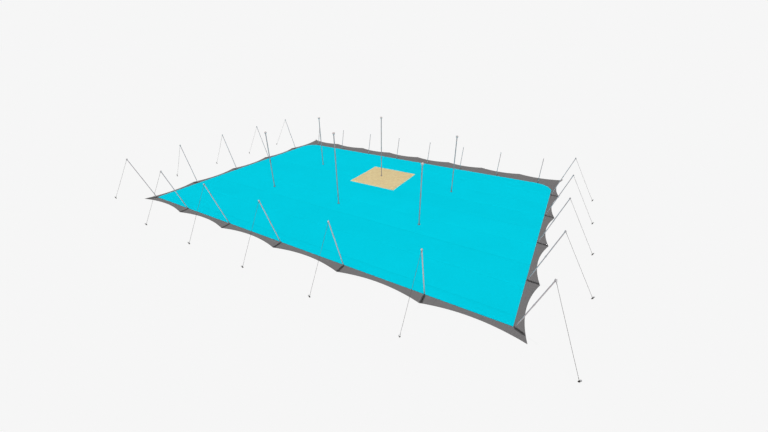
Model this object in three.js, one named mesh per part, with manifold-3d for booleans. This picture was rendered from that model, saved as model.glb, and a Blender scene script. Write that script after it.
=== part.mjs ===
// Stretch tent set out with its canopy off, in millimetres, +Z up:
// ground sheet, carpeted floor, dance floor, poles, guys and stakes.
// The origin is the centre of the floor at ground level; the front faces -Y.
import * as THREE from 'three';
import { mergeVertices } from 'three/addons/utils/BufferGeometryUtils.js';
import Module from 'manifold-3d';

const wasm = await Module();
wasm.setup();

// Driving dimensions
const gap = 0.3; // clearance between touching pieces
const tubeSides = 10;
const plateSides = 12;
const kingSides = 16;
const guySides = 6;
const ballRings = 6;
const weld = 1e-3; // vertices closer than this are one
const floorWidth = 24920;
const floorDepth = 16680;
const floorThickness = 28;
const floorCorner = 1300; // radius of its two back corners
const danceSize = 4000;
const danceThickness = 22;
const danceCentre = new THREE.Vector2(-60, 3260);

// Ground sheet: its outline runs from tip to tip in shallow hollow curves
const sheetThickness = 6;
const sheetTip = 625; // reach of a tip beyond the floor
const sheetHollow = 325; // how far a bay draws in from its tips
const sheetBackReach = 1550; // reach of the back's tips behind the floor
const sheetCornerReach = 1735; // reach of the two back corners behind the floor
const baySteps = 8;

// Edge poles, on the front and on both sides
// The front ones by their X: where each pole stands, its head and its stake
const frontRow = [
  { base: -8740, head: -8760, stake: -8800 },
  { base: -4470, head: -4480, stake: -4425 },
  { base: -90, head: -85, stake: -25 },
  { base: 4250, head: 4290, stake: 4330 },
  { base: 8680, head: 8765, stake: 8795 },
];
const frontReach = 930; // how far the heads lean out beyond the floor
// The side ones are measured back from the front corner, and a sheet tip lies tipAhead in front of its pole
const sidePoleCount = 4;
const rightPoles = { first: 3300, step: 3790, reach: 980, tipAhead: 80 };
const leftPoles = { first: 3150, step: 3742, reach: 1010, tipAhead: 0 };
const edgePole = { height: 3024, radius: 24, ball: 45, foot: 36, standOff: 42 };
const frontRightReach = new THREE.Vector2(900, -405); // a corner pole's lean, from the floor's corner
const frontLeftReach = new THREE.Vector2(-740, -730);

// Low poles along the back
const backPole = { height: 1943, reach: 525, radius: 24, ball: 32, foot: 35, standOff: 41 };
const backRow = [-11330, -8110, -4760, -1505, 1720, 4860, 8070, 11360];
const footThickness = 24;

// King poles: place on the floor and height above the ground
const kingPole = { radius: 33, ball: 86, flange: 84, flangeThickness: 12, taper: 50, taperFoot: 54 };
const kings = {
  king_pole_front_left: [-6560, -2665, 4330],
  king_pole_front_middle: [-330, -2640, 5005],
  king_pole_front_right: [5840, -2650, 4030],
  king_pole_rear_left: [-6675, 3460, 4315],
  king_pole_rear_middle: [-375, 3460, 4950],
  king_pole_rear_right: [5880, 3245, 4290],
};

// Guys, stakes and the pegs in the ground sheet's back corners
const guyRadius = 7;
const frontStakeReach = 2665;
const rightStakes = { reach: 2698, first: 3360, step: 3860 };
const leftStakes = { reach: 3000, first: 3255, step: 3765 };
const frontRightStake = new THREE.Vector2(2315, -1405); // from the floor's corner
const frontLeftStake = new THREE.Vector2(-2430, -1610);
const stake = { radius: 19, length: 150, lean: 0.44, hold: 62, buried: 60 };
const stakeCollar = { radius: 32, headHalf: 13, tieHalf: 24 };
const groundBlock = 800; // trims a stake at ground level
const peg = { radius: 16, height: 110, cap: 30, capThickness: 16, inset: new THREE.Vector2(62, 70) };

const halfWidth = floorWidth / 2;
const halfDepth = floorDepth / 2;
const sheetTop = sheetThickness + gap;
const floorTop = sheetTop + floorThickness + gap;
const danceTop = floorTop + danceThickness + gap;

const finish = {
  sheet: { color: 0x737171, roughness: 0.95, metalness: 0 },
  carpet: { color: 0x00cbe3, roughness: 0.95, metalness: 0 },
  parquet: { color: 0xdcc494, roughness: 0.45, metalness: 0 },
  pole: { color: 0xa9aebb, roughness: 0.35, metalness: 0.8 },
  lowPole: { color: 0xb4b6ba, roughness: 0.4, metalness: 0.7 },
  guy: { color: 0x6e6e71, roughness: 0.8, metalness: 0 },
  peg: { color: 0x55575c, roughness: 0.5, metalness: 0.8 },
};

const model = new THREE.Group();

function addPiece(name, geometry, look) {
  const piece = new THREE.Mesh(geometry, new THREE.MeshStandardMaterial(look));
  piece.name = name;
  model.add(piece);
}

// Solids for cutting and joining
function toSolid(geometry) {
  const bare = geometry.clone();
  bare.deleteAttribute('normal');
  bare.deleteAttribute('uv');
  const merged = mergeVertices(bare, weld);
  const vertProperties = new Float32Array(merged.attributes.position.array);
  const triVerts = new Uint32Array(merged.index.array);
  return new wasm.Manifold(new wasm.Mesh({ numProp: 3, vertProperties, triVerts }));
}

function toGeometry(solid) {
  const mesh = solid.getMesh();
  const geometry = new THREE.BufferGeometry();
  geometry.setAttribute('position', new THREE.BufferAttribute(new Float32Array(mesh.vertProperties), 3));
  geometry.setIndex(new THREE.BufferAttribute(new Uint32Array(mesh.triVerts), 1));
  return geometry;
}

function join(...geometries) {
  const solids = geometries.map(toSolid);
  return solids.reduce((whole, next) => whole.add(next));
}

// A turned piece standing on +Z, from its profile of [radius, height] points
function turned(profile, sides) {
  const points = profile.map(([radius, height]) => new THREE.Vector2(radius, height));
  return new THREE.LatheGeometry(points, sides).rotateX(Math.PI / 2);
}

function rod(from, to, radius, sides) {
  const axis = new THREE.Vector3().subVectors(to, from);
  const length = axis.length();
  const turn = new THREE.Quaternion().setFromUnitVectors(new THREE.Vector3(0, 0, 1), axis.normalize());
  const shape = turned([[0, 0], [radius, 0], [radius, length], [0, length]], sides);
  return shape.applyQuaternion(turn).translate(from.x, from.y, from.z);
}

function disc(x, y, base, radius, thickness, sides) {
  return turned([[0, 0], [radius, 0], [radius, thickness], [0, thickness]], sides).translate(x, y, base);
}

function ball(centre, radius) {
  return new THREE.SphereGeometry(radius, tubeSides, ballRings).translate(centre.x, centre.y, centre.z);
}

// Where each leaning pole stands, where its head is, and where its guy is staked
function leaningPole(name, kind, base, head, stakeAt) {
  const foot = new THREE.Vector3(base.x, base.y, sheetTop);
  const top = new THREE.Vector3(head.x, head.y, kind.height - kind.ball);
  return { name, kind, foot, top, stakeAt };
}

function frontPoles() {
  return frontRow.map((place, index) => {
    const base = new THREE.Vector2(place.base, -halfDepth - edgePole.standOff);
    const head = new THREE.Vector2(place.head, -halfDepth - frontReach);
    const stakeAt = new THREE.Vector2(place.stake, -halfDepth - frontStakeReach);
    return leaningPole(`front_${index + 1}`, edgePole, base, head, stakeAt);
  });
}

function sidePoles(side, sign, row, stakes) {
  return Array.from({ length: sidePoleCount }, (_, index) => {
    const y = -halfDepth + row.first + index * row.step;
    const stakeY = -halfDepth + stakes.first + index * stakes.step;
    const base = new THREE.Vector2(sign * (halfWidth + edgePole.standOff), y);
    const head = new THREE.Vector2(sign * (halfWidth + row.reach), y);
    const stakeAt = new THREE.Vector2(sign * (halfWidth + stakes.reach), stakeY);
    return leaningPole(`${side}_${index + 1}`, edgePole, base, head, stakeAt);
  });
}

function cornerPole(name, sign, reach, stakeReach) {
  const corner = new THREE.Vector2(sign * halfWidth, -halfDepth);
  const lean = reach.clone().normalize();
  const base = corner.clone().addScaledVector(lean, edgePole.standOff * Math.SQRT2);
  return leaningPole(name, edgePole, base, corner.clone().add(reach), corner.clone().add(stakeReach));
}

function backPoles() {
  return backRow.map((x, index) => {
    const base = new THREE.Vector2(x, halfDepth + backPole.standOff);
    const head = new THREE.Vector2(x, halfDepth + backPole.reach);
    return leaningPole(`back_${index + 1}`, backPole, base, head, null);
  });
}

// A round foot on the ground sheet, a tube and a ball head. extra widens it all round, for cutting.
function poleSolid({ kind, foot, top }, extra = 0) {
  const plate = disc(foot.x, foot.y, foot.z, kind.foot + extra, footThickness, plateSides);
  const start = foot.clone().setZ(foot.z + kind.radius / 2);
  return join(plate, rod(start, top, kind.radius + extra, tubeSides), ball(top, kind.ball + extra));
}

// A flange on the floor, a short taper, a straight tube and a ball head, turned in one piece
function kingSolid([x, y, height], base) {
  const { radius, ball: head, flange, flangeThickness, taper, taperFoot } = kingPole;
  const flangeTop = base + flangeThickness;
  const centre = height - head;
  const neckAngle = Math.PI - Math.asin(radius / head);
  const profile = [[0, base], [flange, base], [flange, flangeTop], [taperFoot, flangeTop]];
  profile.push([radius, flangeTop + taper]);
  for (let step = 0; step < ballRings; step += 1) {
    const angle = neckAngle * (1 - step / ballRings);
    profile.push([head * Math.sin(angle), centre + head * Math.cos(angle)]);
  }
  profile.push([0, height]);
  return toSolid(turned(profile, kingSides).translate(x, y, 0));
}

// Guy and stake. The guy runs up to the pole's ball head, and the stake leans away from it.
// What lies inside the pole or below ground level is cut off.
function guySolid(pole) {
  const { top, stakeAt } = pole;
  const away = new THREE.Vector2(stakeAt.x - top.x, stakeAt.y - top.y).normalize();
  away.multiplyScalar(Math.sin(stake.lean));
  const axis = new THREE.Vector3(away.x, away.y, Math.cos(stake.lean));
  const foot = new THREE.Vector3(stakeAt.x, stakeAt.y, 0);
  const along = (distance) => foot.clone().addScaledVector(axis, distance);
  const tie = along(stake.hold);
  const collar = (at, half) => rod(along(at - half), along(at + half), stakeCollar.radius, guySides);
  const whole = join(
    rod(top, tie, guyRadius, guySides),
    rod(along(-stake.buried), along(stake.length), stake.radius, guySides),
    collar(stake.length, stakeCollar.headHalf),
    collar(stake.hold, stakeCollar.tieHalf),
  );
  const ground = new THREE.BoxGeometry(groundBlock, groundBlock, groundBlock);
  ground.translate(foot.x, foot.y, -groundBlock / 2);
  return whole.subtract(toSolid(ground)).subtract(poleSolid(pole, gap));
}

// A peg in one of the ground sheet's back corners. extra widens it all round, for its hole.
function pegSolid(sign, extra = 0) {
  const x = sign * (halfWidth + sheetTip - peg.inset.x);
  const y = halfDepth + sheetCornerReach - peg.inset.y;
  const pin = disc(x, y, 0, peg.radius + extra, peg.height, tubeSides);
  const cap = disc(x, y, peg.height - peg.capThickness / 2, peg.cap, peg.capThickness, tubeSides);
  return join(pin, cap);
}

// Ground sheet outline: one bay between two tips, drawn in towards the floor
function hollowBay(shape, from, to, inward) {
  for (let step = 1; step <= baySteps; step += 1) {
    const t = step / baySteps;
    const draw = 4 * sheetHollow * t * (1 - t);
    const point = from.clone().lerp(to, t).addScaledVector(inward, draw);
    shape.lineTo(point.x, point.y);
  }
}

function sideTips(sign, row) {
  const x = sign * (halfWidth + sheetTip);
  const tips = [new THREE.Vector2(x, -halfDepth - sheetTip)];
  for (let index = 0; index < sidePoleCount; index += 1) {
    tips.push(new THREE.Vector2(x, -halfDepth + row.first + index * row.step - row.tipAhead));
  }
  tips.push(new THREE.Vector2(x, halfDepth + sheetCornerReach));
  return tips;
}

// Along the back a tip lies midway between each two low poles
function backTips(rightCorner, leftCorner) {
  const between = backRow.slice(1).map((x, index) => {
    return new THREE.Vector2((x + backRow[index]) / 2, halfDepth + sheetBackReach);
  });
  return [rightCorner, ...between.reverse(), leftCorner];
}

function sheetGeometry() {
  const left = sideTips(-1, leftPoles);
  const right = sideTips(1, rightPoles);
  const front = frontRow.map((place) => new THREE.Vector2(place.base, -halfDepth - sheetTip));
  front.unshift(left[0]);
  front.push(right[0]);
  const shape = new THREE.Shape();
  shape.moveTo(front[0].x, front[0].y);
  const follow = (tips, inward) => {
    for (let index = 1; index < tips.length; index += 1) hollowBay(shape, tips[index - 1], tips[index], inward);
  };
  follow(front, new THREE.Vector2(0, 1));
  follow(right, new THREE.Vector2(-1, 0));
  follow(backTips(right.at(-1), left.at(-1)), new THREE.Vector2(0, -1));
  follow(left.reverse(), new THREE.Vector2(1, 0));
  return new THREE.ExtrudeGeometry(shape, { depth: sheetThickness, bevelEnabled: false });
}

// The front corners are square and the back ones rounded
function floorGeometry() {
  const shape = new THREE.Shape();
  shape.moveTo(-halfWidth, -halfDepth);
  shape.lineTo(halfWidth, -halfDepth);
  shape.absarc(halfWidth - floorCorner, halfDepth - floorCorner, floorCorner, 0, Math.PI / 2);
  shape.absarc(floorCorner - halfWidth, halfDepth - floorCorner, floorCorner, Math.PI / 2, Math.PI);
  shape.closePath();
  return new THREE.ExtrudeGeometry(shape, { depth: floorThickness, bevelEnabled: false });
}

// Assembly
let sheet = toSolid(sheetGeometry());
for (const [side, sign] of [['right', 1], ['left', -1]]) {
  addPiece(`corner_peg_${side}`, toGeometry(pegSolid(sign)), finish.peg);
  sheet = sheet.subtract(pegSolid(sign, gap));
}
addPiece('ground_sheet', toGeometry(sheet), finish.sheet);

const carpet = toSolid(floorGeometry().translate(0, 0, floorTop - floorThickness));
addPiece('floor', toGeometry(carpet), finish.carpet);
const panel = new THREE.BoxGeometry(danceSize, danceSize, danceThickness);
panel.translate(danceCentre.x, danceCentre.y, danceTop - danceThickness / 2);
addPiece('dance_floor', panel, finish.parquet);

const edgePoles = [
  ...frontPoles(),
  ...sidePoles('right', 1, rightPoles, rightStakes),
  ...sidePoles('left', -1, leftPoles, leftStakes),
  cornerPole('front_right_corner', 1, frontRightReach, frontRightStake),
  cornerPole('front_left_corner', -1, frontLeftReach, frontLeftStake),
];
for (const pole of edgePoles) {
  addPiece(`edge_pole_${pole.name}`, toGeometry(poleSolid(pole)), finish.pole);
  addPiece(`guy_${pole.name}`, toGeometry(guySolid(pole)), finish.guy);
}
for (const pole of backPoles()) {
  addPiece(`low_pole_${pole.name}`, toGeometry(poleSolid(pole)), finish.lowPole);
}
for (const [name, king] of Object.entries(kings)) {
  const base = name === 'king_pole_rear_middle' ? danceTop : floorTop; // it stands on the dance floor
  addPiece(name, toGeometry(kingSolid(king, base + gap)), finish.pole);
}

export default model;
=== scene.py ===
import math

import bpy
import numpy as np
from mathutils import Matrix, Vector


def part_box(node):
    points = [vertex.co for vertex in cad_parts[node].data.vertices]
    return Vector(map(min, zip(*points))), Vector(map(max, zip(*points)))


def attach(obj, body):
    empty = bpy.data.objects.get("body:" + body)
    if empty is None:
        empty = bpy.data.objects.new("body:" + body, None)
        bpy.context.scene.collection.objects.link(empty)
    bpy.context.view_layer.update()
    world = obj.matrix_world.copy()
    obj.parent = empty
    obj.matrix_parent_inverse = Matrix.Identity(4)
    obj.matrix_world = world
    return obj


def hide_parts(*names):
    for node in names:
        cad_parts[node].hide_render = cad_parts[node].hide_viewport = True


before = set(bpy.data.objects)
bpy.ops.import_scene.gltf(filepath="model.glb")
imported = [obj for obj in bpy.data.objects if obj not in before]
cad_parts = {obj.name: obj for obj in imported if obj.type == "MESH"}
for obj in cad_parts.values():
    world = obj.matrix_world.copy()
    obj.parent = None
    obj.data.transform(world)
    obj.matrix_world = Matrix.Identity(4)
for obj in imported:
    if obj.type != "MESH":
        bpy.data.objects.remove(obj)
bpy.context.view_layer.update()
up = np.array([0.0, 0.0, 1.0])
print("frame loaded with", len(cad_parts), "nodes")


# Meshes

# One object at the origin from closed shells. A shell has its points, its faces as arrays of polygons of one
# size each, a uv row for every face corner, and the number of its material.
def makePiece(name, shells, materials, replaced=(), sharpAngle=38):
    corners, sizes, uvs, numbers = [], [], [], []
    first = 0
    for shell in shells:
        for faces, uv in zip(shell["faces"], shell["uv"]):
            corners.append(faces.ravel() + first)
            sizes.append(np.full(len(faces), faces.shape[1]))
            uvs.append(uv.reshape(-1, 2))
            numbers.append(np.full(len(faces), shell["material"]))
        first += len(shell["points"])
    corners, sizes = np.concatenate(corners), np.concatenate(sizes)
    starts = np.concatenate([[0], np.cumsum(sizes)[:-1]])
    points = np.concatenate([shell["points"] for shell in shells])
    mesh = bpy.data.meshes.new(name)
    mesh.vertices.add(len(points))
    mesh.vertices.foreach_set("co", points.astype(np.float32).ravel())
    mesh.loops.add(len(corners))
    mesh.loops.foreach_set("vertex_index", corners.astype(np.int32))
    mesh.polygons.add(len(sizes))
    mesh.polygons.foreach_set("loop_start", starts.astype(np.int32))
    mesh.polygons.foreach_set("material_index", np.concatenate(numbers).astype(np.int32))
    layer = mesh.uv_layers.new(name="UVMap")
    layer.data.foreach_set("uv", np.concatenate(uvs).astype(np.float32).ravel())
    mesh.update(calc_edges=True)
    mesh.shade_smooth()
    mesh.set_sharp_from_angle(angle=math.radians(sharpAngle))
    for material in materials:
        mesh.materials.append(material)
    piece = bpy.data.objects.new(name, mesh)
    bpy.context.scene.collection.objects.link(piece)
    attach(piece, "root")
    if replaced:
        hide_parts(*replaced)
    return piece


def newShell(points, faces, uv, material=0):
    return {"points": points.reshape(-1, 3), "faces": faces, "uv": uv, "material": material}


def unit(vector):
    return vector / np.linalg.norm(vector)


# Distance along a path at each of its points
def lengthAlong(path):
    return np.concatenate([[0], np.cumsum(np.linalg.norm(np.diff(path, axis=0), axis=1))])


# The same path with points an even step apart
def evenPath(path, step):
    length = lengthAlong(path)
    at = np.linspace(0, length[-1], max(2, int(round(length[-1] / step)) + 1))
    return np.stack([np.interp(at, length, path[:, k]) for k in range(3)], -1)


# 3t^2 - 2t^3, where t runs from 0 at low to 1 at high
def smoothStep(value, low, high):
    t = np.clip((value - low) / (high - low), 0, 1)
    return t * t * (3 - 2 * t)


# Quads that join each ring of points to the next, with their rows and columns. In a closed set the last ring
# also joins the first.
def ringQuads(rows, count, closed=False):
    row, col = np.meshgrid(np.arange(rows if closed else rows - 1), np.arange(count), indexing="ij")
    over, beside = (row + 1) % rows, (col + 1) % count
    corners = row * count + col, row * count + beside, over * count + beside, over * count + col
    return np.stack(corners, -1), row, col


# The uv of quads that run from u0 to u1 and from v0 to v1
def quadUv(u0, u1, v0, v1):
    return np.stack([np.stack(corner, -1) for corner in ((u0, v0), (u1, v0), (u1, v1), (u0, v1))], -2)


# A closed skin over rings of points, an array of (rings, corners, 3). Quads join each ring to the next and a
# flat face closes each end. uv is (distance around, distance along). girth is the whole distance around, or
# its value at each corner and once more at the first.
def ringShell(rings, along, girth, material=0):
    rows, count = rings.shape[:2]
    quads, row, col = ringQuads(rows, count)
    around = np.arange(count + 1) * girth / count if np.ndim(girth) == 0 else girth
    sideUv = quadUv(around[col], around[col + 1], along[row], along[row + 1])
    turn = 2 * np.pi * np.arange(count) / count
    capUv = np.stack([np.cos(turn), np.sin(turn)], -1)[None] * np.ptp(around) / (2 * np.pi)
    cap = np.arange(count)[None]
    faces = [quads.reshape(-1, 4), cap[:, ::-1], cap + (rows - 1) * count]
    return newShell(rings, faces, [sideUv.reshape(-1, 4, 2), capUv[:, ::-1], capUv], material)


# Two directions square to an axis, so that sideA x sideB = axis
def sidesOf(axis):
    helper = np.array([0.0, 1.0, 0.0]) if abs(axis[2]) > 0.9 else up
    sideA = unit(np.cross(helper, axis))
    return sideA, np.cross(axis, sideA)


# start + h * axis + r * (cos a * sideA + sin a * sideB), from a profile with rows of (h, r)
def turnedRings(start, axis, profile, sides):
    axis = unit(axis)
    sideA, sideB = sidesOf(axis)
    height, radius = profile.T
    turn = 2 * np.pi * np.arange(sides) / sides
    circle = np.cos(turn)[:, None] * sideA + np.sin(turn)[:, None] * sideB
    return start + height[:, None, None] * axis + radius[:, None, None] * circle


# A turned rod, from one end of its profile to the other
def turnedShell(start, axis, profile, sides, material=0):
    height, radius = profile.T
    return ringShell(turnedRings(start, axis, profile, sides), height, 2 * np.pi * radius.max(), material)


# A turned hoop, whose profile is closed
def hoopShell(centre, axis, profile, sides, material):
    quads = ringQuads(len(profile), sides, True)[0][..., [0, 3, 2, 1]]
    uv = np.stack([quads % sides, quads // sides], -1) / sides * 2 * np.pi * profile[:, 1].max()
    rings = turnedRings(centre, axis, profile, sides)
    return newShell(rings, [quads.reshape(-1, 4)], [uv.reshape(-1, 4, 2)], material)


# Takes each inner corner off a profile: corner -> (a, a/4 + corner/2 + b/4, b), with a and b a bevel's length
# away, or at 0.45 of a side that is shorter
def eased(profile, bevel):
    points = [np.array(point, float) for point in profile]
    out = [points[0]]
    for before, corner, after in zip(points, points[1:], points[2:]):
        back, ahead = before - corner, after - corner
        reach = min(bevel, 0.45 * np.linalg.norm(back), 0.45 * np.linalg.norm(ahead))
        a, b = corner + unit(back) * reach, corner + unit(ahead) * reach
        out += [a, 0.25 * a + 0.5 * corner + 0.25 * b, b]
    return np.array(out + [points[-1]])


# Profile of a ball about h = 0: (-R cos f, R sin f), less a groove of depth * exp(-(h / width)^2) round its
# middle
def ballProfile(radius, grooveDepth, grooveWidth):
    poleGap, steps = 0.03, 26
    f = np.linspace(poleGap, np.pi - poleGap, steps)
    height = -radius * np.cos(f)
    return np.stack([height, radius * np.sin(f) - grooveDepth * np.exp(-(height / grooveWidth) ** 2)], -1)


# A closed slab: a grid of top points, upright walls down to the base height and a flat underside
def slabShell(top, base):
    rows, cols = top.shape[:2]
    number = np.arange(rows * cols).reshape(rows, cols)
    quads = np.stack([number[:-1, :-1], number[:-1, 1:], number[1:, 1:], number[1:, :-1]], -1)
    rim = np.concatenate([number[0, :-1], number[:-1, -1], number[-1, :0:-1], number[:0:-1, 0]])
    low = top.reshape(-1, 3)[rim]
    low[:, 2] = base
    lowRim = rows * cols + np.arange(len(rim))
    walls = np.stack([rim, lowRim, np.roll(lowRim, -1), np.roll(rim, -1)], -1)
    points = np.concatenate([top.reshape(-1, 3), low])
    faces = [quads.reshape(-1, 4), walls, lowRim[::-1][None]]
    return newShell(points, faces, [points[face][..., :2] for face in faces])


# A rope along a path of points: r = d cos f + sqrt(q^2 - d^2 sin^2 f), the outline of three round strands
# that touch, where f is the angle to the nearest strand, q its radius and d its distance from the middle. The
# grooves stop at a floor, a share of the rope's radius. The outline turns once round in each pitch. swell is
# added to r, one value for each point.
def ropeShell(path, side, radius, pitch, swell=0.0):
    corners, grooveFloor = 15, 0.62
    turn = 2 * np.pi * np.arange(corners) / corners
    strand = radius / (1 + 2 / math.sqrt(3))
    away = strand * 2 / math.sqrt(3)
    f = (turn + np.pi / 3) % (2 * np.pi / 3) - np.pi / 3
    outline = away * np.cos(f) + np.sqrt(np.maximum(strand ** 2 - (away * np.sin(f)) ** 2, 0))
    outline = np.maximum(outline, grooveFloor * radius)
    length = lengthAlong(path)
    tangent = np.gradient(path, axis=0)
    tangent = tangent / np.linalg.norm(tangent, axis=1)[:, None]
    sideA = side - (tangent @ side)[:, None] * tangent
    sideA = sideA / np.linalg.norm(sideA, axis=1)[:, None]
    sideB = np.cross(tangent, sideA)
    angle = (turn[None] + 2 * np.pi * length[:, None] / pitch)[..., None]
    r = (outline[None] + np.reshape(swell, (-1, 1)))[..., None]
    rings = path[:, None] + r * (np.cos(angle) * sideA[:, None] + np.sin(angle) * sideB[:, None])
    return ringShell(rings, length, 2 * np.pi * radius)


# Where the frame puts things

def nodePoints(name):
    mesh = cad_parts[name].data
    points = np.empty(len(mesh.vertices) * 3, np.float32)
    mesh.vertices.foreach_get("co", points)
    return points.reshape(-1, 3).astype(float)


def middleOf(points):
    return (points.min(0) + points.max(0)) / 2


# Centre of the lowest face of a node
def footOf(name):
    points = nodePoints(name)
    return middleOf(points[points[:, 2] < points[:, 2].min() + 0.001])


# Centre of a node's ball head: it is widest along Y at its centre's height
def headOf(name, radius):
    points = nodePoints(name)
    crown = points[points[:, 2] > points[:, 2].max() - radius]
    x, y = middleOf(crown)[:2]
    return np.array([x, y, crown[crown[:, 1].argmax(), 2]])


# Middle of an upright node's base, and the node's height
def baseOf(name):
    low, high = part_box(name)
    return np.array([(low[0] + high[0]) / 2, (low[1] + high[1]) / 2, low[2]]), high[2] - low[2]


# Node trees

# Sets each of a node's inputs, or links it where the value is another node's output
def setInputs(tree, node, inputs):
    for socket, value in inputs.items():
        if isinstance(value, bpy.types.NodeSocket):
            tree.links.new(value, node.inputs[socket])
        else:
            node.inputs[socket].default_value = value


def addNode(tree, kind, inputs, **settings):
    node = tree.nodes.new("ShaderNode" + kind)
    for key, value in settings.items():
        setattr(node, key, value)
    setInputs(tree, node, inputs)
    return node.outputs


def maths(tree, operation, a, b=0.0, c=0.0):
    return addNode(tree, "Math", {0: a, 1: b, 2: c}, operation=operation)[0]


def times(tree, a, b):
    return maths(tree, "MULTIPLY", a, b)


def plus(tree, a, b):
    return maths(tree, "ADD", a, b)


# |a - b|
def apart(tree, a, b):
    return maths(tree, "ABSOLUTE", maths(tree, "SUBTRACT", a, b))


# sin(rate * value)
def sine(tree, value, rate):
    return maths(tree, "SINE", times(tree, value, rate))


def mapped(tree, value, low, high, toLow=0.0, toHigh=1.0):
    inputs = {"Value": value, "From Min": low, "From Max": high, "To Min": toLow, "To Max": toHigh}
    return addNode(tree, "MapRange", inputs)["Result"]


# Noise from 0.3 to 0.7, where nearly all of it lies, becomes low to high, and no value goes beyond them
def spread(tree, value, low, high):
    return mapped(tree, value, 0.3, 0.7, low, high)


# Colour a mixed towards b by a factor
def mixed(tree, factor, a, b):
    return addNode(tree, "Mix", {0: factor, 6: a, 7: b}, data_type="RGBA")[2]


def scaled(tree, vector, factor):
    return addNode(tree, "VectorMath", {0: vector, "Scale": factor}, operation="SCALE")[0]


# A vector's x, y and z
def axes(tree, vector):
    return addNode(tree, "SeparateXYZ", {0: vector})


def noise(tree, vector, scale, detail, roughness=0.5, distortion=0.0):
    inputs = {"Vector": vector, "Scale": scale, "Detail": detail, "Roughness": roughness}
    return addNode(tree, "TexNoise", {**inputs, "Distortion": distortion})[0]


# A pattern's vector scaled along each axis and turned about Z
def stretched(tree, vector, scale, turn=0.0):
    return addNode(tree, "Mapping", {"Vector": vector, "Scale": scale, "Rotation": (0, 0, turn)})[0]


def bump(tree, height, distance, strength):
    return addNode(tree, "Bump", {"Height": height, "Distance": distance, "Strength": strength})[0]


def objectPlace(tree):
    return addNode(tree, "TexCoord", {})["Object"]


def surfaceUv(tree):
    return addNode(tree, "TexCoord", {})["UV"]


# A shader node group, its inputs as outputs of a node inside it, and its output node
def newGroup(name, inputs, outputs):
    group = bpy.data.node_groups.new(name, "ShaderNodeTree")
    for label, kind in inputs:
        group.interface.new_socket(label, in_out="INPUT", socket_type="NodeSocket" + kind)
    for label, kind in outputs:
        group.interface.new_socket(label, in_out="OUTPUT", socket_type="NodeSocket" + kind)
    return group, group.nodes.new("NodeGroupInput").outputs, group.nodes.new("NodeGroupOutput")


# Colour scaled by 1 + 2 * amount * (cloudy noise - 0.5) + 2 * fine * (finer noise - 0.5). Value is the cloudy
# noise.
def makeMottle():
    inputs = [("Vector", "Vector"), ("Color", "Color")]
    inputs += [(label, "Float") for label in ("Scale", "Amount", "Fine")]
    group, given, out = newGroup("mottle", inputs, [("Color", "Color"), ("Value", "Float")])
    cloudy = noise(group, given["Vector"], given["Scale"], 4.0, roughness=0.6)
    finer = noise(group, given["Vector"], times(group, given["Scale"], 37.0), 2.0)
    large = times(group, maths(group, "SUBTRACT", cloudy, 0.5), given["Amount"])
    small = times(group, maths(group, "SUBTRACT", finer, 0.5), given["Fine"])
    factor = plus(group, maths(group, "MULTIPLY_ADD", large, 2.0, 1.0), times(group, small, 2.0))
    setInputs(group, out, {"Color": scaled(group, given["Color"], factor), "Value": cloudy})
    return group


# Plain weave with n threads to the metre: |sin(pi n x)| where floor(n x) + floor(n y) is even, and
# |sin(pi n y)| where it is odd
def makeWeave():
    group, given, out = newGroup("weave", [("Vector", "Vector"), ("Threads", "Float")], [("Height", "Float")])
    x, y = axes(group, scaled(group, given["Vector"], given["Threads"]))[:2]
    waves = [maths(group, "ABSOLUTE", sine(group, axis, math.pi)) for axis in (x, y)]
    cells = plus(group, maths(group, "FLOOR", x), maths(group, "FLOOR", y))
    odd = maths(group, "PINGPONG", cells, 1.0)
    height = addNode(group, "Mix", {0: odd, 2: waves[0], 3: waves[1]}, data_type="FLOAT")[0]
    setInputs(group, out, {"Height": height})
    return group


# Scuffs and dust that gather near the ground: patches of noise, times 2^(-z / reach) at the height z
def makeScuff():
    inputs = [("Vector", "Vector"), ("Reach", "Float"), ("Scale", "Float")]
    group, given, out = newGroup("scuff", inputs, [("Mask", "Float")])
    below = times(group, axes(group, given["Vector"])[2], -1.0)
    nearGround = maths(group, "POWER", 2.0, maths(group, "DIVIDE", below, given["Reach"]))
    patchy = mapped(group, noise(group, given["Vector"], given["Scale"], 5.0, roughness=0.7), 0.42, 0.62)
    setInputs(group, out, {"Mask": times(group, patchy, nearGround)})
    return group


mottleGroup, weaveGroup, scuffGroup = makeMottle(), makeWeave(), makeScuff()


def mottled(tree, place, color, scale, amount, fine):
    inputs = {"Vector": place, "Color": color, "Scale": scale, "Amount": amount, "Fine": fine}
    return addNode(tree, "Group", inputs, node_tree=mottleGroup)


def scuffed(tree, place, reach, scale):
    inputs = {"Vector": place, "Reach": reach, "Scale": scale}
    return addNode(tree, "Group", inputs, node_tree=scuffGroup)["Mask"]


# Stitches along a seam: dashes where sin(2 pi along / pitch) is high, within the thread's width of their row.
# The thread fades out from its first distance to its second.
def stitched(tree, fromRow, along, look):
    dashes = mapped(tree, sine(tree, along, 2 * math.pi / look["stitch"]), -0.3, 0.1)
    return times(tree, mapped(tree, fromRow, *look["thread"], 1.0, 0.0), dashes)


# A material with its Principled shader's plain values set
def newMaterial(name, values):
    material = bpy.data.materials.new(name)
    material.use_nodes = True
    tree = material.node_tree
    shader = tree.nodes["Principled BSDF"]
    setInputs(tree, shader, values)
    return material, tree, shader


# Materials

soil, rust, ropeSoil = (0.20, 0.18, 0.15, 1), (0.22, 0.12, 0.06, 1), (0.10, 0.085, 0.07, 1)
# Dark grey of the ground sheet: a painted shadow of the tent's canopy on the ground
shadowGroundSheetLook = {
    "color": (0.172, 0.166, 0.167, 1), "threadColor": (0.34, 0.34, 0.34, 1), "threads": 420.0,
    "panel": 2.05, "seam": (0.014, 0.018), "seamTone": 0.10, "hem": 0.050, "hemTone": 0.08,
    "stitch": 0.010, "stitchRow": 0.008, "thread": (0.0012, 0.0020),
}
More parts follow.
